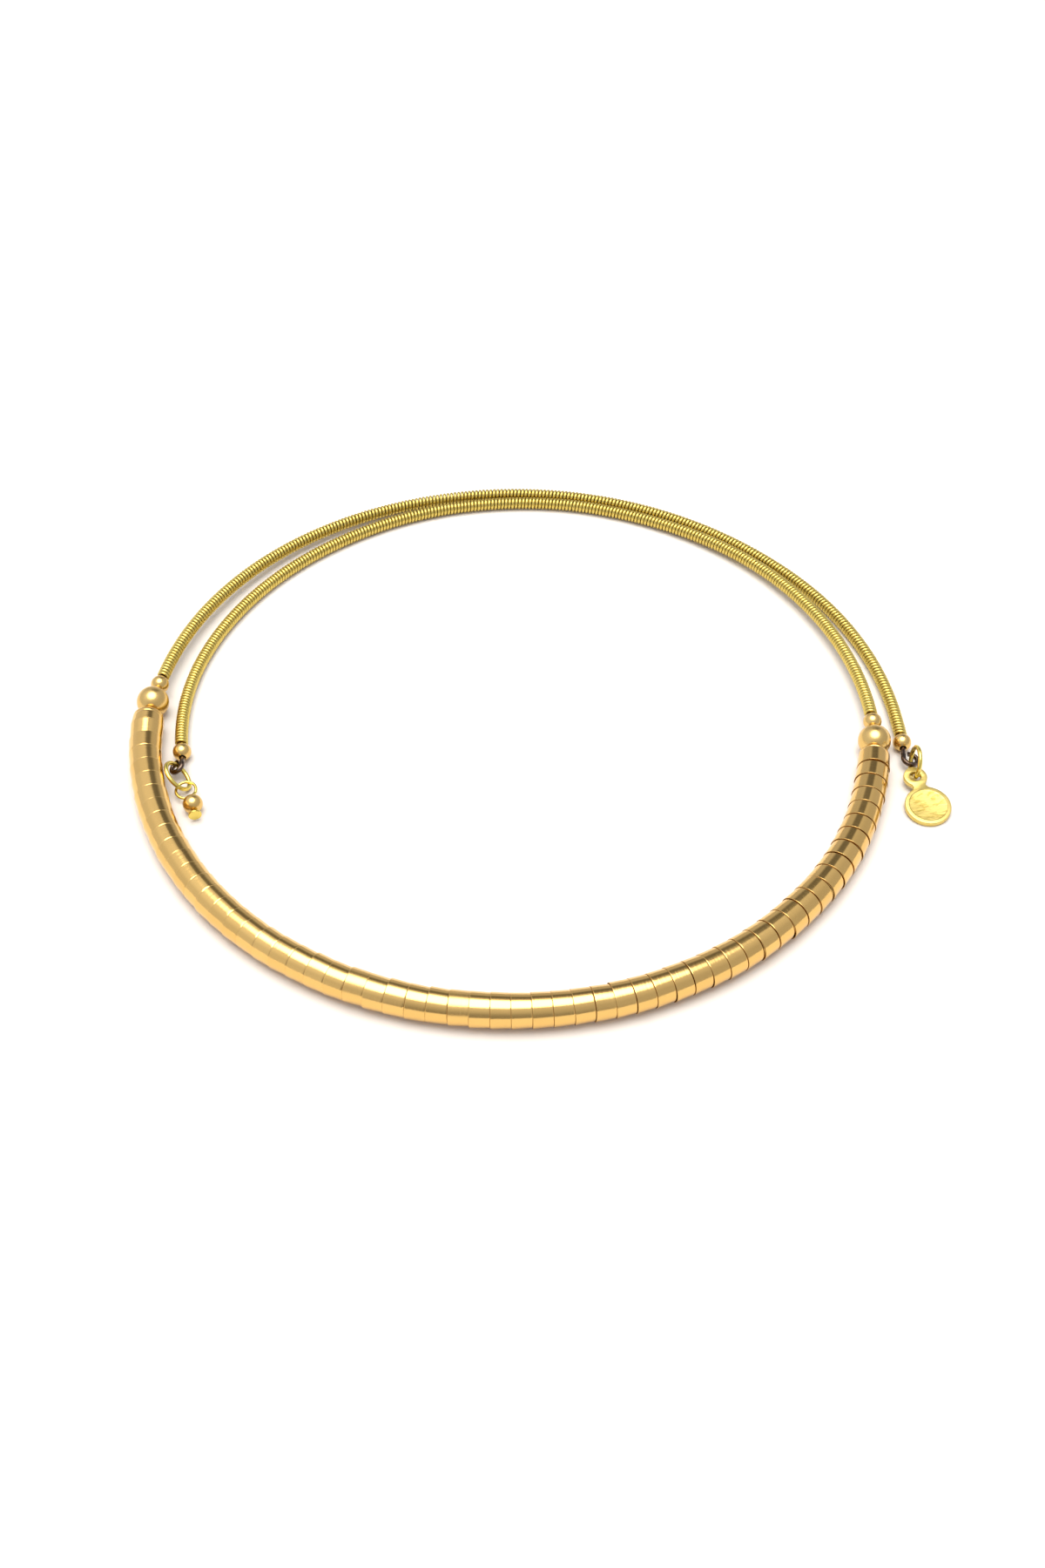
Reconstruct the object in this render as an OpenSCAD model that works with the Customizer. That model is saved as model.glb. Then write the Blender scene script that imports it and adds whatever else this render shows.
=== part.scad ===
// A wrap choker of memory wire, lying flat. One spring wire makes about a turn and a half.
// Cup beads that nest in one another cover its front, close-wound brass coils cover the rest,
// and a turned eye at each end carries a link: one with a round tag, one with a bead drop.

/* [String] */
// Radius of the circle that the cup beads lie on, to the middle of the wire
string_r = 60.8; // [60:0.1:62]
// Diameter of a cup bead's mouth and of the two large round beads
bead_d = 5.5; // [5.4:0.02:5.5]
// Number of cup beads that face the same way
cup_count = 58; // [54:1:60]
// Thickness of a cup bead's wall
cup_wall = 0.18; // [0.12:0.01:0.2]

/* [Wire and coils] */
// Thickness of the memory wire
wire_d = 0.85; // [0.7:0.05:0.85]
// Outside diameter of the coils wound round the wire
coil_d = 2.25; // [2.1:0.05:2.25]
// Bore of the coils and of the round beads
bore_d = 1.2; // [1.15:0.05:1.3]

/* [Round beads] */
// Bore of the large round beads, which are long enough for the wire's curve to show in it
big_bore_d = 1.5; // [1.4:0.05:1.6]
// Diameter of the small bead at each end of the string
small_bead_d = 3.1; // [2.9:0.05:3.1]
// Diameter of the bead at each end of the wire
end_bead_d = 3.1; // [2.9:0.05:3.1]
// Diameter of the bead on the drop
drop_bead_d = 3.3; // [3:0.05:3.3]

/* [Tag and links] */
// Diameter of the tag
tag_d = 7.6; // [7.2:0.1:8]
// Thickness of the tag at its rim
tag_t = 0.9; // [0.7:0.05:0.9]
// Thickness of the wire that the two links are bent from
link_wire_d = 0.74; // [0.6:0.02:0.76]
// Thickness of the head pin through the drop bead
pin_d = 0.5; // [0.4:0.02:0.5]
// Diameter of the flat head of that pin
pin_head_d = 2.2; // [1.8:0.1:2.4]

/* [Hidden] */

steel = "#5d4a42";
brass = "#c8a84a";
gold = "#c79a55";
round_fn = 48;
clear = 0.1;
up = [0, 0, 1];

// The wire's way, seen from above and turning anticlockwise, from its outer end, round the
// back, through the string at the front, and round the back again inside the first strand.
// Columns: turn in degrees, step outward from the string's circle, height above the surface.
TURN = 0;
STEP = 1;
HEIGHT = 2;
route = [
    [-2.3, 5.15, 1.55],
    [3, 4.9, 1.4],
    [25, 4.55, 1.13],
    [50, 3.85, 1.13],
    [75, 3.68, 1.13],
    [100, 3.2, 1.15],
    [125, 1.95, 1.75],
    [150, 0.75, 2.45],
    [171.5, 0.15, 2.75],
    [176, 0.3, 2.75],
    [186, 0.2, 2.75],
    [205, 0, 2.75],
    [345, 0, 2.75],
    [356.4, 0.3, 2.75],
    [361, 0.4, 2.75],
    [368, 0.4, 2.7],
    [385, 0.6, 2.4],
    [410, 1.2, 1.65],
    [435, 1.22, 1.15],
    [460, 0.2, 1.13],
    [485, -1.85, 1.13],
    [510, -3.5, 1.15],
    [530, -4.6, 1.3],
    [546.3, -5.65, 1.55],
];
outer_end = route[0][TURN];
inner_end = route[len(route) - 1][TURN];

// Places along the wire, as turns
big_left = 175.6;
big_right = 356.75;
small_left = big_left - 4.15;
small_right = big_right + 4.3;

// Where the cups' mouths come, as the real string is packed a little closer at the front.
// Columns: number of the cup when there are 58, turn of its mouth.
seats = [
    [0, 181.7],
    [27, 262],
    [42, 305],
    [57, 350.1],
];
string_from = seats[0][1];
string_to = seats[3][1];

// Cup beads: each dome tucks into the mouth of the next cup
cup_step = (string_to - string_from) / (cup_count - 1);
cup_pitch = 2 * string_r * tan(cup_step / 2);
cup_tuck = 0.87;
cup_hole_r = 0.7;
cup_lap = 0.32;
cup_shoulder = 0.6;
cup_taper = 0.05;
turned_cup_l = 3.25;
turned_gap = 0.28;

// Eyes bent at the ends of the wire, and the one at the end of the head pin.
// Columns: centre, heading into the eye, side that the bend turns to, radius, degrees of bend.
CENTRE = 0;
HEADING = 1;
SIDE = 2;
RADIUS = 3;
BEND = 4;
outer_eye = [[66.8, -6.7, 1.6], [0, -1, 0], [1, 0, -0.2], 1.2, 290];
inner_eye = [[-55.1, -10.1, 2.07], [0, -1, 0], [-1, 0, -0.71], 1.12, 290];
pin_eye = [[-53.14, -14.78, 1.42], [-0.5, 0.87, 0.1], [-0.87, -0.5, -0.11], 1.65, 300];

// Links, by centre, the way that they face, and radius to the middle of their wire
tag_ring_centre = [67.17, -8.75, 2.95];
tag_ring_face = [0.99, 0.03, -0.13];
tag_ring_r = 2.58;
oval_centre = [-54.7, -12.27, 2.13];
oval_face = [0.7, 0.09, 0.71];
oval_along = [0.885, -0.465, 0];
oval_r_long = 2.62;
oval_r_short = 2.21;

// Tag: its far edge rests on the surface, and the link lifts the other end
tag_centre = [68.48, -16.74];
tag_turn = 13.8;
tag_tilt = 6.6;
tag_eye_reach = 6.1;
tag_eye_r = 1.95;
tag_eye_hole_r = 0.92;
tag_neck_w = 2.1;
tag_rim_w = 0.5;
tag_rim_h = 0.12;

// Drop: the pin's head, and the bead that it holds
pin_head_centre = [-50.96, -20.54, 1.5];
pin_head_t = 0.35;
drop_centre = [-51.61, -18.1, 1.65];
drop_bore_r = 0.4;

// Middle of the outline seen from above, so that the model stands over its own origin
west = min([for (turn = [175:1:185]) way(turn).x]) - bead_d / 2;
east = tag_centre.x + tag_d / 2;
south = -string_r - bead_d / 2;
north = max([for (turn = [80:1:100]) way(turn).y]) + coil_d / 2;
middle = [(west + east) / 2, (south + north) / 2, 0];

function unit(v) = v / norm(v);

// Smooth values between the rows of the route, with no overshoot
function rise(row, column) =
    (route[row + 1][column] - route[row][column]) / (route[row + 1][TURN] - route[row][TURN]);
function slope(row, column) =
    row == 0 ? rise(0, column)
    : row == len(route) - 1 ? rise(row - 1, column)
    : rise(row - 1, column) * rise(row, column) <= 0 ? 0
    : 2 / (1 / rise(row - 1, column) + 1 / rise(row, column));
function row_of(turn, row = 0) =
    row == len(route) - 2 || turn < route[row + 1][TURN] ? row : row_of(turn, row + 1);
function eased(turn, column) =
    let (row = row_of(turn))
    let (span = route[row + 1][TURN] - route[row][TURN])
    let (u = (turn - route[row][TURN]) / span)
    (1 + 2 * u) * (1 - u) ^ 2 * route[row][column]
    + u * (1 - u) ^ 2 * span * slope(row, column)
    + u ^ 2 * (3 - 2 * u) * route[row + 1][column]
    - u ^ 2 * (1 - u) * span * slope(row + 1, column);

// Point and heading of the wire at a turn, and the turn that a length takes up there
function way(turn) =
    let (r = string_r + eased(turn, STEP))
    [r * cos(turn), r * sin(turn), eased(turn, HEIGHT)];
function heading(turn) = unit(way(turn + 0.05) - way(turn - 0.05));
function turn_of(length, turn) = length / (string_r + eased(turn, STEP)) * 180 / PI;

// Path of an eye: straight to where the round bend begins, then round it
function eye_path(start, eye, steps) =
    let (t = unit(eye[HEADING]))
    let (s = unit(eye[SIDE] - (eye[SIDE] * t) * t))
    let (off = start - eye[CENTRE])
    let (from = atan2(off * s, off * t) + acos(eye[RADIUS] / norm([off * t, off * s])))
    [for (i = [0:steps])
        let (a = from + eye[BEND] * i / steps)
        eye[CENTRE] + eye[RADIUS] * (cos(a) * t + sin(a) * s)];

function reversed(list) = [for (i = [len(list) - 1:-1:0]) list[i]];
function spaced(from, to, gap) =
    let (count = ceil((to - from) / turn_of(gap, from)))
    [for (i = [0:count]) from + (to - from) * i / count];

// Corners of one ring of a swept tube
function ring_at(path, i, loop, r, sides) =
    let (last = len(path) - 1)
    let (before = path[i > 0 ? i - 1 : loop ? last : 0])
    let (after = path[i < last ? i + 1 : loop ? 0 : last])
    let (t = unit(after - before))
    let (side = unit(cross(t, up)))
    let (lift = cross(side, t))
    [for (k = [0:sides - 1])
        path[i] + r * (cos(360 * k / sides) * side + sin(360 * k / sides) * lift)];

// Triangles between two rings, the first starting at corner a and the second at corner b
function band(a, b, sides) =
    [for (k = [0:sides - 1])
        let (next = (k + 1) % sides)
        each [[a + k, a + next, b + next], [a + k, b + next, b + k]]];

// Solid rod along a path, or a ring where the path closes on itself; radii may be one for each point
module rod(path, r, sides, loop = false) {
    last = len(path) - 1;
    points = [for (i = [0:last]) each ring_at(path, i, loop, is_list(r) ? r[i] : r, sides)];
    walls = [for (i = [0:last - 1]) each band(i * sides, (i + 1) * sides, sides)];
    ends = loop
        ? band(last * sides, 0, sides)
        : [[for (k = [sides - 1:-1:0]) k], [for (k = [0:sides - 1]) last * sides + k]];
    polyhedron(points, concat(walls, ends));
}

// Tube along a path, open from end to end
module tube(path, r, bore_r, sides) {
    last = len(path) - 1;
    skin = (last + 1) * sides;
    outside = [for (i = [0:last]) each ring_at(path, i, false, r, sides)];
    inside = [for (i = [0:last]) each ring_at(path, i, false, bore_r, sides)];
    outer_wall = [for (i = [0:last - 1]) each band(i * sides, (i + 1) * sides, sides)];
    inner_wall = [for (i = [0:last - 1]) each band(skin + (i + 1) * sides, skin + i * sides, sides)];
    ends = concat(band(skin, 0, sides), band(last * sides, skin + last * sides, sides));
    polyhedron(concat(outside, inside), concat(outer_wall, inner_wall, ends));
}

module centred() translate(-middle) children();

// Stands a piece's own Z axis along a direction
module facing(d) {
    v = unit(d);
    rotate([0, acos(v.z), atan2(v.y, v.x)]) children();
}

// Wire and coils
coil_gap = 5.5;
outer_coil_turns = spaced(
    outer_end + turn_of(end_bead_d / 2 + clear, outer_end),
    small_left - turn_of(small_bead_d / 2 + clear, small_left),
    coil_gap
);
inner_coil_turns = spaced(
    small_right + turn_of(small_bead_d / 2 + clear, small_right),
    inner_end - turn_of(end_bead_d / 2 + clear, inner_end),
    coil_gap
);
string_turns = spaced(string_from, string_to, 2 * cup_pitch);
left_bead_turns = [small_left, big_left - 1.5, big_left, big_left + 1.5];
right_bead_turns = [big_right - 1.5, big_right, big_right + 1.5, small_right];

module core_wire() {
    stub = end_bead_d / 2;
    outer_start = way(outer_end) - stub * heading(outer_end);
    inner_start = way(inner_end) + stub * heading(inner_end);
    turns = concat(
        [outer_end], outer_coil_turns, left_bead_turns, string_turns,
        right_bead_turns, inner_coil_turns, [inner_end]
    );
    path = concat(
        reversed(eye_path(outer_start, outer_eye, 14)), [outer_start],
        [for (turn = turns) way(turn)],
        [inner_start], eye_path(inner_start, inner_eye, 14)
    );
    color(steel) centred() rod(path, wire_d / 2, 6);
}

module coil(turns) {
    color(brass) centred() tube([for (turn = turns) way(turn)], coil_d / 2, bore_d / 2, 12);
}
module outer_coil() coil(outer_coil_turns);
module inner_coil() coil(inner_coil_turns);

// Half section of a cup bead, as radius and distance from its mouth
module cup_section(length) {
    mouth_r = bead_d / 2;
    side_r = mouth_r - cup_taper;
    tuck_r = mouth_r - cup_wall - 1.3 * clear;
    dome_from = length - cup_tuck - cup_lap;
    shoulder_from = dome_from - cup_shoulder;
    dome_end = acos(cup_hole_r / tuck_r);
    dome_h = length - dome_from;
    outside = concat(
        [[mouth_r, 0]],
        [for (a = [0:30:60]) [tuck_r + (side_r - tuck_r) * cos(a), shoulder_from + cup_shoulder * sin(a)]],
        [for (a = [0:dome_end / 4:dome_end + 1]) [tuck_r * cos(a), dome_from + dome_h * sin(a) / sin(dome_end)]]
    );
    inside = [
        [mouth_r - cup_wall, 0],
        [side_r - cup_wall, shoulder_from],
        [tuck_r - 2 * cup_wall, dome_from + dome_h / 4],
        [tuck_r / 2, length - 2 * cup_wall],
        [cup_hole_r, length - 1.5 * cup_wall],
    ];
    polygon(concat(outside, reversed(inside)));
}

module cup(length) rotate_extrude($fn = round_fn) cup_section(length);

module scale_beads() {
    color(gold) centred() {
        for (i = [0:cup_count - 1]) {
            middle_turn = lookup(i * seats[3][0] / (cup_count - 1), seats) + cup_step / 2;
            translate(way(middle_turn)) facing(heading(middle_turn))
                translate([0, 0, -cup_pitch / 2]) cup(cup_pitch + cup_tuck);
        }
        // The last cup at the left end is turned about, so that its dome meets the large bead
        turned_middle = string_from - turn_of(turned_gap + turned_cup_l / 2, string_from);
        translate(way(turned_middle)) facing(-heading(turned_middle))
            translate([0, 0, -turned_cup_l / 2]) cup(turned_cup_l);
    }
}

// Round beads threaded on the wire
module round_bead(centre, axis, d, bore_r) {
    translate(centre) facing(axis) difference() {
        sphere(d = d, $fn = round_fn);
        cylinder(r = bore_r, h = 2 * d, center = true, $fn = round_fn);
    }
}
module threaded_bead(turn, d, bore) {
    color(gold) centred() round_bead(way(turn), heading(turn), d, bore / 2);
}
module big_bead_left() threaded_bead(big_left, bead_d, big_bore_d);
module big_bead_right() threaded_bead(big_right, bead_d, big_bore_d);
module small_bead_left() threaded_bead(small_left, small_bead_d, bore_d);
module small_bead_right() threaded_bead(small_right, small_bead_d, bore_d);
module outer_end_bead() threaded_bead(outer_end, end_bead_d, bore_d);
module inner_end_bead() threaded_bead(inner_end, end_bead_d, bore_d);

// Round tag on its link
module tag_ring() {
    color(brass) centred() translate(tag_ring_centre) facing(tag_ring_face)
        rotate_extrude($fn = round_fn) translate([tag_ring_r, 0]) circle(d = link_wire_d, $fn = round_fn);
}

module tag_outline() {
    difference() {
        union() {
            circle(d = tag_d, $fn = round_fn);
            translate([-tag_neck_w / 2, 0]) square([tag_neck_w, tag_eye_reach]);
            translate([0, tag_eye_reach]) circle(r = tag_eye_r, $fn = round_fn);
        }
        translate([0, tag_eye_reach]) circle(r = tag_eye_hole_r, $fn = round_fn);
    }
}

module tag() {
    field_r = tag_d / 2 - tag_rim_w;
    rest_h = tag_d / 2 * sin(tag_tilt);
    color(brass) centred() translate([tag_centre.x, tag_centre.y, rest_h])
        rotate([tag_tilt, 0, tag_turn]) difference() {
            linear_extrude(tag_t) tag_outline();
            translate([0, 0, tag_t - tag_rim_h]) cylinder(r = field_r, h = 1, $fn = round_fn);
            translate([0, 0, tag_rim_h - 1]) cylinder(r = field_r, h = 1, $fn = round_fn);
        }
}

// Bead drop on its oval link
module oval_ring() {
    n = unit(oval_face);
    u = unit(oval_along - (oval_along * n) * n);
    v = cross(n, u);
    path = [for (a = [0:15:345]) oval_centre + oval_r_long * cos(a) * u + oval_r_short * sin(a) * v];
    color(brass) centred() rod(path, link_wire_d / 2, 6, true);
}

module drop_pin() {
    axis = unit(drop_centre - pin_head_centre);
    bead_exit = drop_centre + axis * drop_bead_d / 2;
    shank = [for (d = [0, 0.01, pin_head_t, pin_head_t + 0.01, 1.2]) pin_head_centre + d * axis];
    eye = eye_path(bead_exit, pin_eye, 18);
    head_r = pin_head_d / 2;
    radii = concat([head_r - 0.05, head_r, head_r, pin_d / 2, pin_d / 2], [for (i = [0:19]) pin_d / 2]);
    color(brass) centred() rod(concat(shank, [bead_exit], eye), radii, 12);
}

module drop_bead() {
    color(gold) centred()
        round_bead(drop_centre, drop_centre - pin_head_centre, drop_bead_d, drop_bore_r);
}

core_wire();
outer_coil();
inner_coil();
scale_beads();
big_bead_left();
big_bead_right();
small_bead_left();
small_bead_right();
outer_end_bead();
inner_end_bead();
tag_ring();
tag();
oval_ring();
drop_pin();
drop_bead();
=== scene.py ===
import math
import random

import bpy
from mathutils import Matrix, Vector


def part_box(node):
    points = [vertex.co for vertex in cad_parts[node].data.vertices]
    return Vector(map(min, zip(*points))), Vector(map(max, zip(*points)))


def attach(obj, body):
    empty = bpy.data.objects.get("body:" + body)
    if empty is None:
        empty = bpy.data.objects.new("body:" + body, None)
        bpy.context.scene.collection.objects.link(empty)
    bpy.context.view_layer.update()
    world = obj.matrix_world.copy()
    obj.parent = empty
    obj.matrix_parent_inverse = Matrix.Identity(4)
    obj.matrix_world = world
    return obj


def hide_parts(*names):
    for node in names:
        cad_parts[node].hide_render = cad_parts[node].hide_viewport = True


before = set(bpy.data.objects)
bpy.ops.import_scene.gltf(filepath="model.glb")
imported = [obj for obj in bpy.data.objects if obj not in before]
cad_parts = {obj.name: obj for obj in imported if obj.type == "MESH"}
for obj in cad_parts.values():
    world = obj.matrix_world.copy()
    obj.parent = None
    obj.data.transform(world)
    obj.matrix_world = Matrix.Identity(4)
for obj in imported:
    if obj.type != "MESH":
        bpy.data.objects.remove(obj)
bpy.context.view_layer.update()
bpy.ops.object.select_all(action="DESELECT")

# Memory wire: one springy steel wire of about a turn and a half, bronzed dark. Its two ends are
# turned into eyes, and all that the wire carries was threaded on before the second was turned.
MM = 0.001
UP = Vector((0, 0, 1))
string_r = 60.8
bead_r = 2.75
wire_d = 0.85
wire_point_gap = 2.0
end_bead_r = 1.55
big_right_turn = 356.75
# Columns: turn in degrees, step outward from the string's circle, height above the surface
TURN, STEP, HEIGHT = range(3)
route = [
    (-2.3, 5.15, 1.55),
    (3, 4.9, 1.4),
    (25, 4.55, 1.13),
    (50, 3.85, 1.13),
    (75, 3.68, 1.13),
    (100, 3.2, 1.15),
    (125, 1.95, 1.75),
    (150, 0.75, 2.45),
    (171.5, 0.15, 2.75),
    (176, 0.3, 2.75),
    (186, 0.2, 2.75),
    (205, 0, 2.75),
    (345, 0, 2.75),
    (356.4, 0.3, 2.75),
    (361, 0.4, 2.75),
    (368, 0.4, 2.7),
    (385, 0.6, 2.4),
    (410, 1.2, 1.65),
    (435, 1.22, 1.15),
    (460, 0.2, 1.13),
    (485, -1.85, 1.13),
    (510, -3.5, 1.15),
    (530, -4.6, 1.3),
    (546.3, -5.65, 1.55),
]
outer_end = route[0][TURN]
inner_end = route[-1][TURN]
# Eyes: centre, heading into the eye, side that it bends to, radius and degrees of bend
outer_eye = ((66.8, -6.7, 1.6), (0, -1, 0), (1, 0, -0.2), 1.2, 290)
inner_eye = ((-55.1, -10.1, 2.07), (0, -1, 0), (-1, 0, -0.71), 1.12, 290)


def rise(row, column):
    return (route[row + 1][column] - route[row][column]) / (route[row + 1][TURN] - route[row][TURN])


def slope(row, column):
    if row == 0:
        return rise(0, column)
    if row == len(route) - 1:
        return rise(row - 1, column)
    before, after = rise(row - 1, column), rise(row, column)
    return 0 if before * after <= 0 else 2 / (1 / before + 1 / after)


def eased(turn, column):
    """Smooth value between the rows of the route, with no overshoot."""
    row = 0
    while row < len(route) - 2 and turn >= route[row + 1][TURN]:
        row += 1
    span = route[row + 1][TURN] - route[row][TURN]
    u = (turn - route[row][TURN]) / span
    return (
        (1 + 2 * u) * (1 - u) ** 2 * route[row][column]
        + u * (1 - u) ** 2 * span * slope(row, column)
        + u**2 * (3 - 2 * u) * route[row + 1][column]
        - u**2 * (1 - u) * span * slope(row + 1, column)
    )


def way(turn):
    """Point of the wire's middle at a turn, in millimetres from the middle of the ring."""
    r = string_r + eased(turn, STEP)
    a = math.radians(turn)
    return Vector((r * math.cos(a), r * math.sin(a), eased(turn, HEIGHT)))


def heading(turn):
    return (way(turn + 0.05) - way(turn - 0.05)).normalized()


def turn_of(length, turn):
    return math.degrees(length / (string_r + eased(turn, STEP)))


def stations(first, last, gap):
    """Turns at even distances along the wire."""
    turns = [first]
    while turns[-1] < last:
        turns.append(turns[-1] + turn_of(gap, turns[-1]))
    scale = (last - first) / (turns[-1] - first)
    return [first + (turn - first) * scale for turn in turns]


def eye_path(start, eye, steps):
    """Straight to where the round bend begins, then round it."""
    centre, into, side, radius, bend = eye
    t = Vector(into).normalized()
    s = Vector(side)
    s = (s - s.dot(t) * t).normalized()
    off = start - Vector(centre)
    along, across = off.dot(t), off.dot(s)
    first = math.atan2(across, along) + math.acos(radius / math.hypot(along, across))
    angles = [first + math.radians(bend) * i / steps for i in range(steps + 1)]
    return [Vector(centre) + radius * (math.cos(a) * t + math.sin(a) * s) for a in angles]


bead_low, bead_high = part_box("big_bead_right")
ring_middle = (bead_low + bead_high) / 2 - way(big_right_turn) * MM
ring_middle.z = 0


def curve_through(name, lines, loop):
    """Curve whose straight lines run through points in metres."""
    bpy.ops.curve.primitive_nurbs_path_add()
    piece = bpy.context.object
    piece.name = name
    piece.location = (0, 0, 0)
    piece.data.splines.clear()
    for line in lines:
        spline = piece.data.splines.new("POLY")
        spline.points.add(len(line) - 1)
        for point, place in zip(spline.points, line):
            point.co = (*place, 1)
        spline.use_cyclic_u = loop
    return piece


def drawn(name, line, thickness, sides, loop=False):
    """Wire bent along a line of points in millimetres, as a mesh."""
    piece = curve_through(name, [[ring_middle + place * MM for place in line]], loop)
    piece.data.bevel_depth = thickness * MM / 2
    piece.data.bevel_resolution = sides // 2 - 2
    piece.data.use_fill_caps = not loop
    bpy.ops.object.convert(target="MESH")
    bpy.ops.object.shade_smooth_by_angle(angle=math.radians(50))
    return piece


class Value:
    """A socket of a material's nodes, on which Python's operators work."""

    def __init__(self, graph, socket):
        self.graph = graph
        self.socket = socket

    def maths(self, operation, *others):
        inputs = dict(enumerate((self, *others)))
        return self.graph.node("ShaderNodeMath", {"operation": operation}, inputs)

    def __add__(self, other):
        return self.maths("ADD", other)

    def __sub__(self, other):
        return self.maths("SUBTRACT", other)

    def __mul__(self, other):
        return self.maths("MULTIPLY", other)

    def __truediv__(self, other):
        return self.maths("DIVIDE", other)

    def __rsub__(self, other):
        return self.graph.node("ShaderNodeMath", {"operation": "SUBTRACT"}, {0: other, 1: self})

    __radd__ = __add__
    __rmul__ = __mul__


class Graph:
    """Nodes of a material or of the surroundings."""

    def __init__(self, tree):
        self.tree = tree

    def node(self, kind, settings, inputs, output=0):
        """Makes a node: its settings first, then the values or links of its sockets."""
        made = self.tree.nodes.new(kind)
        for name, setting in settings.items():
            setattr(made, name, setting)
        for name, value in inputs.items():
            if isinstance(value, Value):
                self.tree.links.new(value.socket, made.inputs[name])
            else:
                made.inputs[name].default_value = value
        return Value(self, made.outputs[output])

    def mixed(self, mask, first, second):
        """One colour where the mask is 0 and another where it is 1."""
        return self.node(
            "ShaderNodeMix", {"data_type": "RGBA", "clamp_factor": True},
            {0: mask, 6: self.colour(first), 7: self.colour(second)}, 2,
        )

    def colour(self, value):
        return value if isinstance(value, Value) else (*value, 1)

    def noise(self, place, scale, detail=2.0):
        """Soft random patches; the scale is in patches for each metre."""
        return self.node(
            "ShaderNodeTexNoise", {},
            {"Vector": place, "Scale": scale, "Detail": detail, "Roughness": 0.55},
        )

    def between(self, value, low, high, new_low=0.0, new_high=1.0):
        return self.node(
            "ShaderNodeMapRange", {"clamp": True, "interpolation_type": "SMOOTHSTEP"},
            {0: value, 1: low, 2: high, 3: new_low, 4: new_high},
        )

    def place(self):
        return self.node("ShaderNodeTexCoord", {}, {}, "Object")

    def read(self, name):
        """A value that was noted at each point of the piece."""
        return self.node("ShaderNodeAttribute", {"attribute_name": name}, {}, "Fac")


def note(piece, name, values):
    """Writes a value at each point of a piece, for its material to read."""
    piece.data.attributes.new(name, "FLOAT", "POINT").data.foreach_set("value", values)


def new_metal(name):
    """Bare metal, and the graph that its colour and gloss are worked out in."""
    material = bpy.data.materials.new(name)
    material.use_nodes = True
    shader = material.node_tree.nodes["Principled BSDF"]
    shader.inputs["Metallic"].default_value = 1.0
    return material, Graph(material.node_tree), shader


def finish_with(graph, shader, colour, roughness, height=None, depth=0.0):
    """Joins the worked out colour, roughness and fine relief to the metal."""
    tree = graph.tree
    tree.links.new(colour.socket, shader.inputs["Base Color"])
    tree.links.new(roughness.socket, shader.inputs["Roughness"])
    if height is not None:
        bump = graph.node(
            "ShaderNodeBump", {}, {"Height": height, "Distance": depth * MM, "Strength": 1.0}
        )
        tree.links.new(bump.socket, shader.inputs["Normal"])


def bronzed_steel():
    material, graph, shader = new_metal("bronzed_steel")
    place = graph.place()
    patches = graph.noise(place, 700, 4)
    rubbed = graph.between(graph.noise(place, 1500, 3), 0.5, 0.7)
    dark = graph.mixed(patches, (0.065, 0.043, 0.03), (0.125, 0.08, 0.056))
    colour = graph.mixed(rubbed * 0.5, dark, (0.38, 0.27, 0.20))
    finish_with(graph, shader, colour, 0.13 + 0.14 * patches, graph.noise(place, 6000, 2), 0.01)
    return material


outer_start = way(outer_end) - end_bead_r * heading(outer_end)
inner_start = way(inner_end) + end_bead_r * heading(inner_end)
wire_line = (
    eye_path(outer_start, outer_eye, 40)[::-1]
    + [outer_start]
    + [way(turn) for turn in stations(outer_end, inner_end, wire_point_gap)]
    + [inner_start]
    + eye_path(inner_start, inner_eye, 40)
)
memory_wire = drawn("memory_wire", wire_line, wire_d, 14)
memory_wire.data.materials.append(bronzed_steel())
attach(memory_wire, "root")
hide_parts("core_wire")

# The camera stands in front of the choker and looks down on it at the photograph's angle. The
# floor is a plain pale sheet, lit by one large soft box overhead and by pale walls all round,
# with a dark patch at the back that the polished cups mirror.
camera_elevation = math.radians(46.04)
camera_roll = math.radians(0.4)
camera_distance = 339.9 * MM
camera_aim = ring_middle + Vector((2.11, -11.47, 0)) * MM
focal_px = 2354.1
frame_px = 1800
sensor_mm = 36

sight = Vector((0, math.cos(camera_elevation), -math.sin(camera_elevation)))
bpy.ops.object.camera_add(location=camera_aim - sight * camera_distance)
camera = bpy.context.object
camera.rotation_mode = "ZYX"
camera.rotation_euler = (math.pi / 2 - camera_elevation, 0, camera_roll)
camera.data.sensor_width = sensor_mm
camera.data.lens = focal_px / frame_px * sensor_mm
camera.data.clip_start = 0.01
bpy.context.scene.camera = camera
bpy.context.scene.view_settings.view_transform = "Standard"

bpy.ops.mesh.primitive_circle_add(vertices=96, radius=3, fill_type="NGON")
floor = bpy.context.object
floor.name = "floor"
pale = bpy.data.materials.new("pale_sheet")
pale.use_nodes = True
sheet = pale.node_tree.nodes["Principled BSDF"].inputs
sheet["Base Color"].default_value = (0.80, 0.75, 0.68, 1)
sheet["Roughness"].default_value = 0.9
sheet["Specular IOR Level"].default_value = 0.1
floor.data.materials.append(pale)

box_light = 6.0
box_axis = (-0.045, 0.04, 0.998)
box_edge = (math.cos(math.radians(31)), math.cos(math.radians(19)))
glow_edge = (math.cos(math.radians(62)), math.cos(math.radians(28)))
glow_light = 0.28
front_dimmed = 0.26
back_dimmed = 0.75
surroundings = bpy.data.worlds.new("studio")
bpy.context.scene.world = surroundings
surroundings.use_nodes = True
studio = Graph(surroundings.node_tree)
direction = studio.node("ShaderNodeTexCoord", {}, {}, "Generated")
split = studio.node("ShaderNodeSeparateXYZ", {}, {0: direction})
east = Value(studio, split.socket.node.outputs["X"])
north = Value(studio, split.socket.node.outputs["Y"])
height = Value(studio, split.socket.node.outputs["Z"])
from_axis = studio.node(
    "ShaderNodeVectorMath", {"operation": "DOT_PRODUCT"}, {0: direction, 1: box_axis}, "Value"
)
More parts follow.
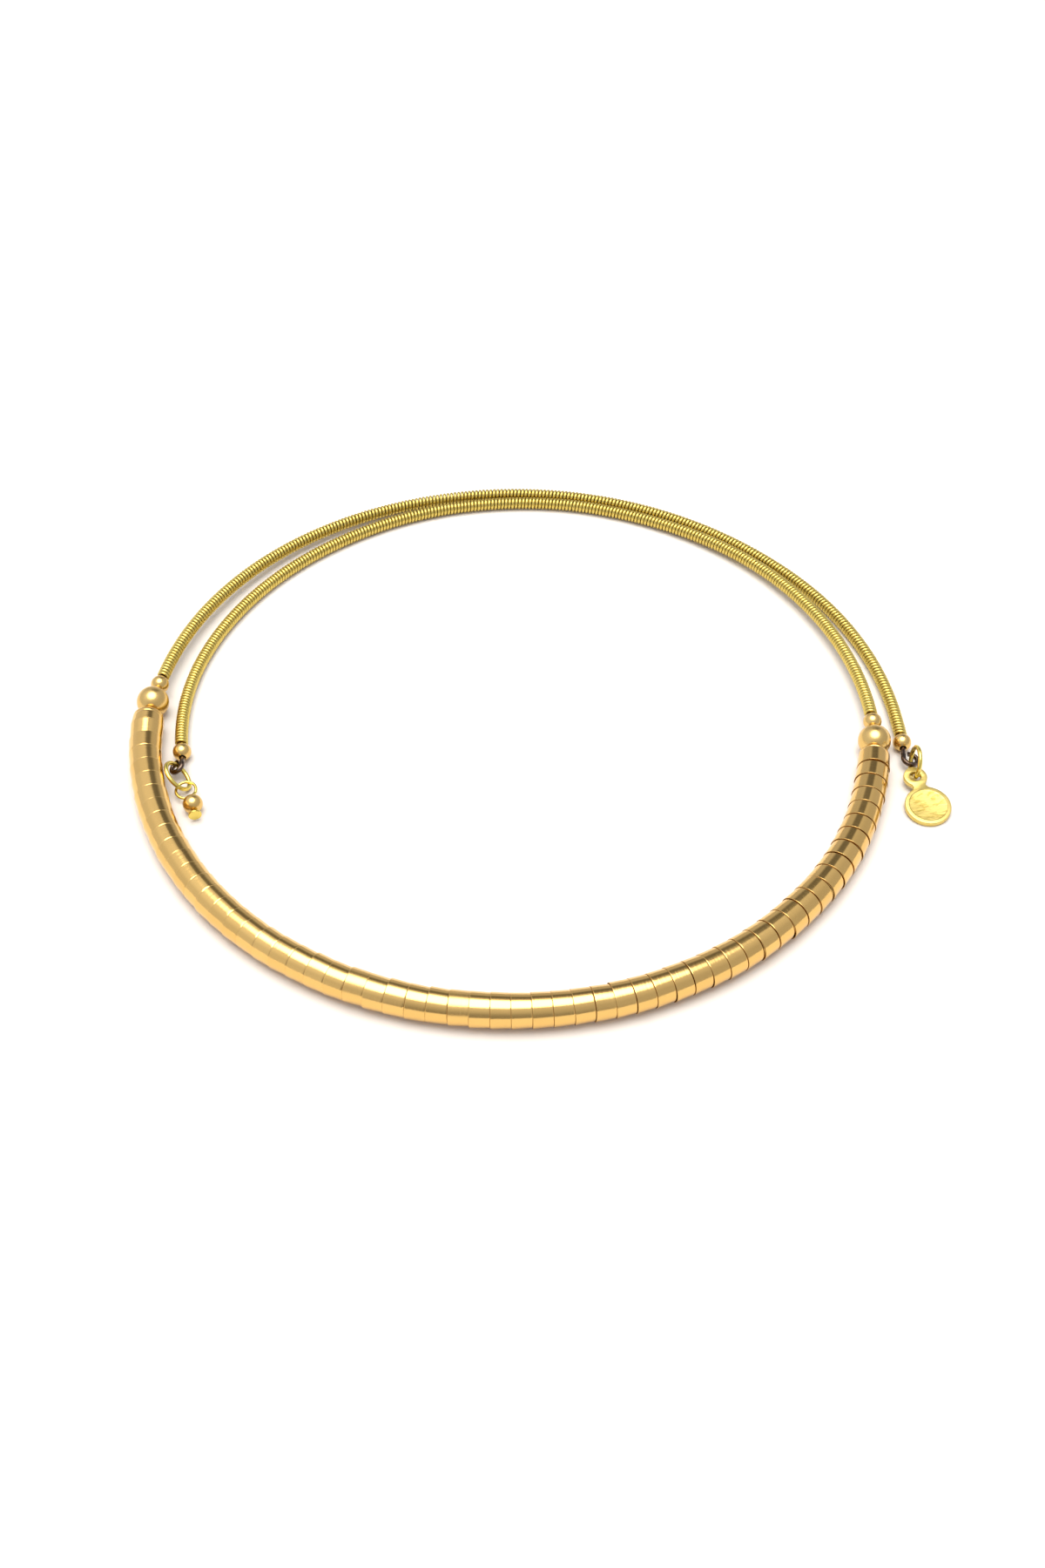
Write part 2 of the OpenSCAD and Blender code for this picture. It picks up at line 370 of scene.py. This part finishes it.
soft_box = studio.between(from_axis, *box_edge)
glow = studio.between(from_axis, *glow_edge) * studio.between(east, -0.5, 0.5, 1.3, 0.7)
side_walls = studio.between(east, -0.8, -0.3, 0.87, 0.64)
at_front = studio.between(north, -0.98, -0.8, 1.0, 0.0)
bearing = east / north
dark_back = (
    studio.between(north, 0.3, 0.4)
    * studio.between(bearing, -0.31, -0.06)
    * studio.between(bearing, 0.45, 0.7, 1.0, 0.0)
    * studio.between(height + 0.25 * bearing, 0.34, 0.6)
    * studio.between(height - 0.22 * bearing, 0.71, 0.77, 1.0, 0.0)
)
walls = side_walls - front_dimmed * at_front + glow_light * glow
walls = walls * (1 - back_dimmed * dark_back)
light = walls * (1 - soft_box) + soft_box * box_light
wall_tint = studio.mixed(soft_box, (0.98, 1.0, 1.12), (1.0, 1.0, 1.0))
background = surroundings.node_tree.nodes["Background"]
surroundings.node_tree.links.new(wall_tint.socket, background.inputs["Color"])
surroundings.node_tree.links.new(light.socket, background.inputs["Strength"])

# Coils: fine brass wire wound close round the memory wire, about 280 turns on each side. One
# runs from the outer end bead round the back, the other inside it to the inner end bead.
coil_d = 2.25
winding_d = 0.62
outer_pitch = 0.682
inner_pitch = 0.652
winding_steps = 16
coil_gap = 0.2
small_bead_r = 1.55
small_left_turn = 171.45
small_right_turn = 361.05


def coil_brass():
    material, graph, shader = new_metal("coil_brass")
    place = graph.place()
    patches = graph.noise(place, 250, 3)
    out = graph.read("outward")
    bright = graph.mixed(patches, (0.62, 0.475, 0.11), (0.72, 0.56, 0.15))
    # Painted shade: the brass turns deep brown towards the grooves between windings, where
    # neighbouring windings touch and shade each other.
    colour = graph.mixed(graph.between(out, 0.70, 0.91), (0.20, 0.10, 0.01), bright)
    finish_with(graph, shader, colour, 0.26 + 0.12 * graph.noise(place, 3000, 2))
    return material


def winding(name, pitch, first, last):
    """Helix round the wire's way, from one turn to another."""
    helix_r = (coil_d - winding_d) / 2
    line = []
    for i, turn in enumerate(stations(first, last, pitch / winding_steps)):
        t = heading(turn)
        side = t.cross(UP).normalized()
        lift = side.cross(t)
        a = math.tau * i / winding_steps
        line.append(way(turn) + helix_r * (math.cos(a) * side + math.sin(a) * lift))
    piece = drawn(name, line, winding_d, 8)
    outward = []
    for vertex in piece.data.vertices:
        place = (vertex.co - ring_middle) / MM
        turn = math.degrees(math.atan2(place.y, place.x))
        while turn < first - 2:
            turn += 360
        outward.append((place - way(turn)).length / (coil_d / 2))
    note(piece, "outward", outward)
    piece.data.materials.append(coil_brass())
    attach(piece, "root")
    return piece


outer_winding = winding(
    "outer_winding", outer_pitch,
    outer_end + turn_of(end_bead_r + coil_gap, outer_end),
    small_left_turn - turn_of(small_bead_r + coil_gap, small_left_turn),
)
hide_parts("outer_coil")
inner_winding = winding(
    "inner_winding", inner_pitch,
    small_right_turn + turn_of(small_bead_r + coil_gap, small_right_turn),
    inner_end - turn_of(end_bead_r + coil_gap, inner_end),
)
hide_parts("inner_coil")

# Cup beads: thin pressed cups with a straight side, a rounded shoulder and a drilled dome, gold
# plated. Each dome sits in the mouth of the next cup. The last one at the left is turned about.
cup_count = 58
cup_wall = 0.15
cup_taper = 0.1
cup_tuck = 0.87
cup_lap = 0.16
roll_r = 0.8
roll_bend = 32
dome_fullness = 2.7
cup_hole_r = 0.7
cup_rim_r = 0.05
turned_cup_l = 3.25
turned_dome_h = 1.35
turned_gap = 0.28
tuck_gap = 0.03
cup_sides = 48
# Columns: number of the cup, turn of its mouth
seats = [(0, 181.7), (27, 262), (42, 305), (57, 350.1)]
cup_step = (seats[-1][1] - seats[0][1]) / (cup_count - 1)
cup_pitch = 2 * string_r * math.tan(math.radians(cup_step / 2))


def mouth_turn(number):
    for (n0, t0), (n1, t1) in zip(seats, seats[1:]):
        if number <= n1:
            return t0 + (t1 - t0) * (number - n0) / (n1 - n0)


def arc(centre, radii, first, last, steps):
    """Points of a round corner in a half section, as radius and distance from the mouth."""
    angles = [math.radians(first + (last - first) * i / steps) for i in range(steps + 1)]
    (x, y), (wide, high) = centre, radii
    return [(x + wide * math.cos(a), y + high * math.sin(a)) for a in angles]


def cup_section(length, dome_h):
    """Closed half section of a cup: the outside from the rim to the hole, and back inside."""
    side_r = bead_r - cup_taper
    tuck_r = bead_r - cup_wall - tuck_gap
    dome_from = length - dome_h
    dome_end = math.degrees(math.acos((cup_hole_r / tuck_r) ** (dome_fullness / 2)))
    outside = arc((bead_r - cup_rim_r, cup_rim_r), (cup_rim_r, cup_rim_r), -90, 0, 3)
    roll_from = dome_from - roll_r * math.sin(math.radians(roll_bend))
    for part in (0.04, 0.96):
        outside.append((bead_r - cup_taper * part, cup_rim_r + (roll_from - cup_rim_r) * part))
    outside += arc((side_r - roll_r, roll_from), (roll_r, roll_r), 0, roll_bend, 5)
    for i in range(9):
        a = math.radians(4 + (dome_end - 4) * i / 8)
        outside.append((
            tuck_r * math.cos(a) ** (2 / dome_fullness),
            dome_from + (dome_h - 0.02) * math.sin(a) ** (2 / dome_fullness),
        ))
    inside = [(cup_hole_r, length - 2.2 * cup_wall)]
    inside += arc((0, dome_from - 0.2), (tuck_r - cup_wall, dome_h - 0.2), 60, 0, 4)
    inside += [(side_r - cup_wall, dome_from - 0.7), (bead_r - cup_wall, 2 * cup_rim_r)]
    inside += arc((bead_r - cup_wall + cup_rim_r, cup_rim_r), (cup_rim_r, cup_rim_r), 180, 270, 2)
    return outside + inside


def turned(name, section, steps):
    """Piece turned on a lathe: a closed half section spun round the Z axis, in millimetres."""
    piece = curve_through(name, [[(r * MM, 0, z * MM) for r, z in section]], True)
    bpy.ops.object.convert(target="MESH")
    bpy.ops.object.mode_set(mode="EDIT")
    bpy.ops.mesh.select_all(action="SELECT")
    bpy.ops.mesh.spin(steps=steps, angle=math.tau, center=(0, 0, 0), axis=(0, 0, 1))
    bpy.ops.mesh.select_all(action="SELECT")
    bpy.ops.mesh.remove_doubles(threshold=0.002 * MM)
    bpy.ops.mesh.normals_make_consistent(inside=False)
    bpy.ops.object.mode_set(mode="OBJECT")
    bpy.ops.object.shade_smooth_by_angle(angle=math.radians(40))
    return piece


def standing(at, axis):
    """Place of a piece whose own Z axis points along an axis, in metres."""
    z = axis.normalized()
    x = UP.cross(z).normalized()
    turn = Matrix((x, z.cross(x), z)).transposed().to_4x4()
    return Matrix.Translation(ring_middle + at * MM) @ turn


def cup_gold():
    material, graph, shader = new_metal("cup_gold")
    place = graph.place()
    lathe_lines = graph.node(
        "ShaderNodeTexNoise", {"noise_dimensions": "1D"},
        {"W": graph.read("along"), "Scale": 2.6, "Detail": 3.0},
    )
    # The mouth rim is coloured dark brown. This is partly bare cut metal and partly painted shade
    # standing in for the dark seam between cups.
    bare_rim_and_seam_shade = graph.read("edge")
    patches = graph.noise(place, 300, 3)
    warm = graph.mixed(graph.read("tone"), (0.74, 0.47, 0.145), (0.79, 0.51, 0.165))
    plated = graph.mixed(patches * 0.35, warm, (0.69, 0.44, 0.15))
    colour = graph.mixed(bare_rim_and_seam_shade, plated, (0.31, 0.17, 0.045))
    dulled = 0.1 * graph.read("rubbed") + 0.4 * bare_rim_and_seam_shade
    roughness = 0.07 + 0.06 * patches + 0.07 * lathe_lines + dulled
    finish_with(graph, shader, colour, roughness, lathe_lines, 0.007)
    return material


chance = random.Random(5)
loose_tilt = 0.6
loose_shift = 0.025
loose_oval = 0.01
rubbed_cups = (22, 27)
lathe_lines_apart = 17
# Number of the cup: shift outward, up and along in millimetres, lean and sway in degrees. The
# last number is the turned cup's.
proud_cups = {
    0: (0, 0, -0.2, 7, 0),
    22: (-0.05, 0.2, 0, 1.5, 0.5),
    27: (0.05, 0.08, 0, -1.0, 0.5),
    58: (0, 0.1, 0, -5.5, 0),
}
gold = cup_gold()
nested_cup = turned("nested_cup", cup_section(cup_pitch + cup_tuck, cup_tuck - cup_lap), cup_sides)
turned_cup = turned("turned_cup", cup_section(turned_cup_l, turned_dome_h), cup_sides)
cups = []


def seat_cup(pattern, number, matrix):
    """Copies a cup to its place, and notes what its material reads."""
    cup = pattern.copy()
    cup.data = pattern.data.copy()
    bpy.context.collection.objects.link(cup)
    depths = [vertex.co.z / MM for vertex in cup.data.vertices]
    note(cup, "along", [depth + number * lathe_lines_apart for depth in depths])
    # Mask for the mouth rim, which the material paints dark brown: partly bare cut metal, partly
    # painted seam shade.
    note(cup, "edge", [max(0, 1 - depth / cup_rim_r) for depth in depths])
    note(cup, "tone", [chance.random()] * len(depths))
    note(cup, "rubbed", [0.25 * chance.random() + (number in rubbed_cups)] * len(depths))
    cup.data.transform(matrix)
    cups.append(cup)


def play(number):
    """The little that a cup shifts and leans on the wire, by chance or as a proud one."""
    out, up, along, lean, sway = proud_cups.get(number, (0, 0, 0, 0, 0))
    out += chance.gauss(0, loose_shift)
    up += chance.gauss(0, loose_shift)
    lean += chance.gauss(0, loose_tilt)
    sway += chance.gauss(0, loose_tilt)
    return (
        Matrix.Translation((out * MM, up * MM, along * MM))
        @ Matrix.Rotation(math.radians(lean), 4, "X")
        @ Matrix.Rotation(math.radians(sway), 4, "Y")
        @ Matrix.Rotation(chance.uniform(0, math.pi), 4, "Z")
        @ Matrix.Diagonal((1 + loose_oval, 1 - loose_oval, 1, 1))
    )


for number in range(cup_count):
    middle_turn = mouth_turn(number) + cup_step / 2
    place = standing(way(middle_turn), heading(middle_turn)) @ play(number)
    seat_cup(nested_cup, number, place @ Matrix.Translation((0, 0, -cup_pitch / 2 * MM)))
middle_turn = mouth_turn(0) - turn_of(turned_gap + turned_cup_l / 2, mouth_turn(0))
place = standing(way(middle_turn), -heading(middle_turn)) @ play(cup_count)
seat_cup(turned_cup, cup_count, place @ Matrix.Translation((0, 0, -turned_cup_l / 2 * MM)))

bpy.data.objects.remove(nested_cup)
bpy.data.objects.remove(turned_cup)
bpy.ops.object.select_all(action="DESELECT")
for cup in cups:
    cup.select_set(True)
bpy.context.view_layer.objects.active = cups[0]
bpy.ops.object.join()
cup_string = bpy.context.object
cup_string.name = "cup_string"
cup_string.data.materials.append(gold)
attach(cup_string, "root")
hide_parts("scale_beads")

# Round beads: drilled metal balls, gold plated and polished. A large one closes each end of the
# string of cups, and small ones stand against the ends of the coils.


def bead_gold():
    material, graph, shader = new_metal("bead_gold")
    place = graph.place()
    patches = graph.noise(place, 350, 3)
    colour = graph.mixed(patches, (0.66, 0.44, 0.145), (0.74, 0.50, 0.175))
    finish_with(graph, shader, colour, 0.21 + 0.06 * patches, graph.noise(place, 4000, 2), 0.003)
    return material


ball_gold = bead_gold()
for name in (
    "big_bead_left", "big_bead_right", "small_bead_left", "small_bead_right",
    "outer_end_bead", "inner_end_bead", "drop_bead",
):
    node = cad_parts[name]
    node.data.materials.clear()
    node.data.materials.append(ball_gold)

# Links: short brass wires bent round and closed. The round one holds the tag on the outer eye,
# and the oval one holds the bead drop on the inner eye.
link_d = 0.74
oval_centre = (-54.7, -12.27, 2.13)
oval_face = (0.7, 0.09, 0.71)
oval_along = (0.885, -0.465, 0)
oval_r_long = 2.62
oval_r_short = 2.21


def link_brass():
    material, graph, shader = new_metal("link_brass")
    place = graph.place()
    patches = graph.noise(place, 900, 3)
    colour = graph.mixed(patches, (0.70, 0.54, 0.11), (0.80, 0.64, 0.17))
    finish_with(graph, shader, colour, 0.12 + 0.1 * patches, graph.noise(place, 5000, 2), 0.006)
    return material


yellow_brass = link_brass()
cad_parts["tag_ring"].data.materials.clear()
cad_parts["tag_ring"].data.materials.append(yellow_brass)

face = Vector(oval_face).normalized()
lengthwise = Vector(oval_along)
lengthwise = (lengthwise - lengthwise.dot(face) * face).normalized()
crosswise = face.cross(lengthwise)
oval_line = []
for i in range(72):
    a = math.tau * i / 72
    reach = oval_r_long * math.cos(a) * lengthwise + oval_r_short * math.sin(a) * crosswise
    oval_line.append(Vector(oval_centre) + reach)
oval_link = drawn("oval_link", oval_line, link_d, 14, loop=True)
oval_link.data.materials.append(yellow_brass)
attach(oval_link, "root")
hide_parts("oval_ring")

# Bead drop: a brass head pin goes through the bead, and its flat head keeps the bead on. Its
# other end is turned into an eye on the oval link.
pin_d = 0.5
pin_head_r = 1.1
pin_head_t = 0.35
pin_head_centre = Vector((-50.96, -20.54, 1.5))
drop_centre = Vector((-51.61, -18.1, 1.65))
drop_r = 1.65
pin_eye = ((-53.14, -14.78, 1.42), (-0.5, 0.87, 0.1), (-0.87, -0.5, -0.11), 1.65, 300)

pin_axis = (drop_centre - pin_head_centre).normalized()
bead_exit = drop_centre + pin_axis * drop_r
pin_start = pin_head_centre + pin_axis * pin_head_t / 2
pin_line = [pin_start, bead_exit] + eye_path(bead_exit, pin_eye, 48)
shank = drawn("head_pin", pin_line, pin_d, 12)
head_section = (
    [(0.0001, 0)]
    + arc((pin_head_r - 0.1, 0.1), (0.1, 0.1), -90, 0, 4)
    + arc((pin_head_r - 0.1, pin_head_t - 0.1), (0.1, 0.1), 0, 90, 4)
    + [(0.0001, pin_head_t)]
)
head = turned("pin_head", head_section, 40)
head.data.transform(standing(pin_head_centre, pin_axis))
head.select_set(True)
shank.select_set(True)
bpy.context.view_layer.objects.active = shank
bpy.ops.object.join()
head_pin = bpy.context.object
head_pin.data.materials.append(yellow_brass)
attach(head_pin, "root")
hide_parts("drop_pin")

# Tag: a round brass disc with a raised rim and a roughly brushed field, cast in one piece with its
# small eye. Its far edge rests on the surface, and the link lifts the eye a little.
tag_centre = (68.48, -16.74)
tag_turn = 13.8
tag_tilt = 6.6
tag_r = 3.8
tag_t = 0.9
tag_edge = 0.13
tag_eye_reach = 6.1
tag_eye_r = 1.95
tag_eye_hole_r = 0.92
tag_neck_bend_r = 0.75
tag_rim_w = 0.5
tag_rim_h = 0.12
brush_turn = math.radians(24)
tag_field_r = tag_r - tag_rim_w

tag_rest = ring_middle + Vector((*tag_centre, tag_r * math.sin(math.radians(tag_tilt)))) * MM
tag_place = (
    Matrix.Translation(tag_rest)
    @ Matrix.Rotation(math.radians(tag_turn), 4, "Z")
    @ Matrix.Rotation(math.radians(tag_tilt), 4, "X")
)


def tag_outline():
    """Disc and eye, joined by a neck whose two hollow sides are round bends."""
    to_bend = tag_r + tag_neck_bend_r
    eye_to_bend = tag_eye_r + tag_neck_bend_r
    bend_y = (tag_eye_reach**2 + to_bend**2 - eye_to_bend**2) / (2 * tag_eye_reach)
    bend_x = math.sqrt(to_bend**2 - bend_y**2)
    at_disc = math.degrees(math.atan2(bend_y, bend_x))
    at_eye = math.degrees(math.atan2(bend_y - tag_eye_reach, bend_x))
    bend_r = (tag_neck_bend_r, tag_neck_bend_r)
    return (
        arc((0, 0), (tag_r, tag_r), 180 - at_disc, 360 + at_disc, 72)
        + arc((bend_x, bend_y), bend_r, 180 + at_disc, 180 + at_eye, 8)[1:]
        + arc((0, tag_eye_reach), (tag_eye_r, tag_eye_r), at_eye, 180 - at_eye, 40)[1:]
        + arc((-bend_x, bend_y), bend_r, -at_eye, -at_disc, 8)[1:-1]
    )


def tag_brass():
    material, graph, shader = new_metal("tag_brass")
    local = graph.node(
        "ShaderNodeMapping", {"vector_type": "TEXTURE"},
        {"Vector": graph.place(), "Location": tag_rest, "Rotation": tag_place.to_euler()},
    )
    brushed = graph.node(
        "ShaderNodeMapping", {},
        {"Vector": local, "Rotation": (0, 0, brush_turn), "Scale": (1, 2.6, 1)},
    )
    strokes = graph.noise(brushed, 800, 2)
    patches = graph.noise(local, 500, 3)
    spread = graph.node("ShaderNodeVectorMath", {"operation": "MULTIPLY"}, {0: local, 1: (1, 1, 0)})
    from_middle = graph.node("ShaderNodeVectorMath", {"operation": "LENGTH"}, {0: spread}, "Value")
    in_field = graph.between(from_middle, (tag_field_r - 0.3) * MM, tag_field_r * MM, 1.0, 0.0)
    bright = graph.mixed(patches, (0.65, 0.49, 0.13), (0.75, 0.58, 0.185))
    colour = graph.mixed(in_field * graph.between(strokes, 0.55, 0.35), bright, (0.50, 0.36, 0.08))
    roughness = 0.3 + 0.1 * patches + 0.08 * in_field
    finish_with(graph, shader, colour, roughness, strokes * (0.4 + 0.6 * in_field), 0.055)
    return material


eye_hole = arc((0, tag_eye_reach), (tag_eye_hole_r, tag_eye_hole_r), 0, 360, 40)[:-1]
tag_edges = [[(x * MM, y * MM, 0) for x, y in edge] for edge in (tag_outline(), eye_hole)]
tag_disc = curve_through("round_tag", tag_edges, True)
tag_disc.data.dimensions = "2D"
tag_disc.data.fill_mode = "BOTH"
tag_disc.data.offset = -tag_edge * MM
tag_disc.data.bevel_depth = tag_edge * MM
tag_disc.data.bevel_resolution = 2
tag_disc.data.extrude = (tag_t / 2 - tag_edge) * MM
bpy.ops.object.convert(target="MESH")
bpy.ops.object.mode_set(mode="EDIT")
bpy.ops.mesh.select_all(action="SELECT")
bpy.ops.mesh.remove_doubles(threshold=0.002 * MM)
bpy.ops.mesh.normals_make_consistent(inside=False)
bpy.ops.object.mode_set(mode="OBJECT")

# The field is sunk on both faces, with a soft corner inside the rim
field_corner = 0.35
field_z = tag_t / 2 - tag_rim_h
corner_middle = (tag_field_r - field_corner, field_z + field_corner)
field_section = (
    [(0.0001, field_z)]
    + arc(corner_middle, (field_corner, field_corner), -90, -20, 4)
    + [(tag_field_r + 0.1, tag_t), (0.0001, tag_t)]
)
for flip in (0, math.pi):
    sinker = turned("sinker", field_section, 96)
    sinker.data.transform(Matrix.Rotation(flip, 4, "X"))
    cut = tag_disc.modifiers.new("field", "BOOLEAN")
    cut.operation = "DIFFERENCE"
    cut.object = sinker
    bpy.context.view_layer.objects.active = tag_disc
    bpy.ops.object.modifier_apply(modifier=cut.name)
    bpy.data.objects.remove(sinker)
tag_disc.data.transform(tag_place @ Matrix.Translation((0, 0, tag_t / 2 * MM)))
bpy.ops.object.select_all(action="DESELECT")
tag_disc.select_set(True)
bpy.ops.object.shade_smooth_by_angle(angle=math.radians(40))
tag_disc.data.materials.clear()
tag_disc.data.materials.append(tag_brass())
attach(tag_disc, "root")
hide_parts("tag")
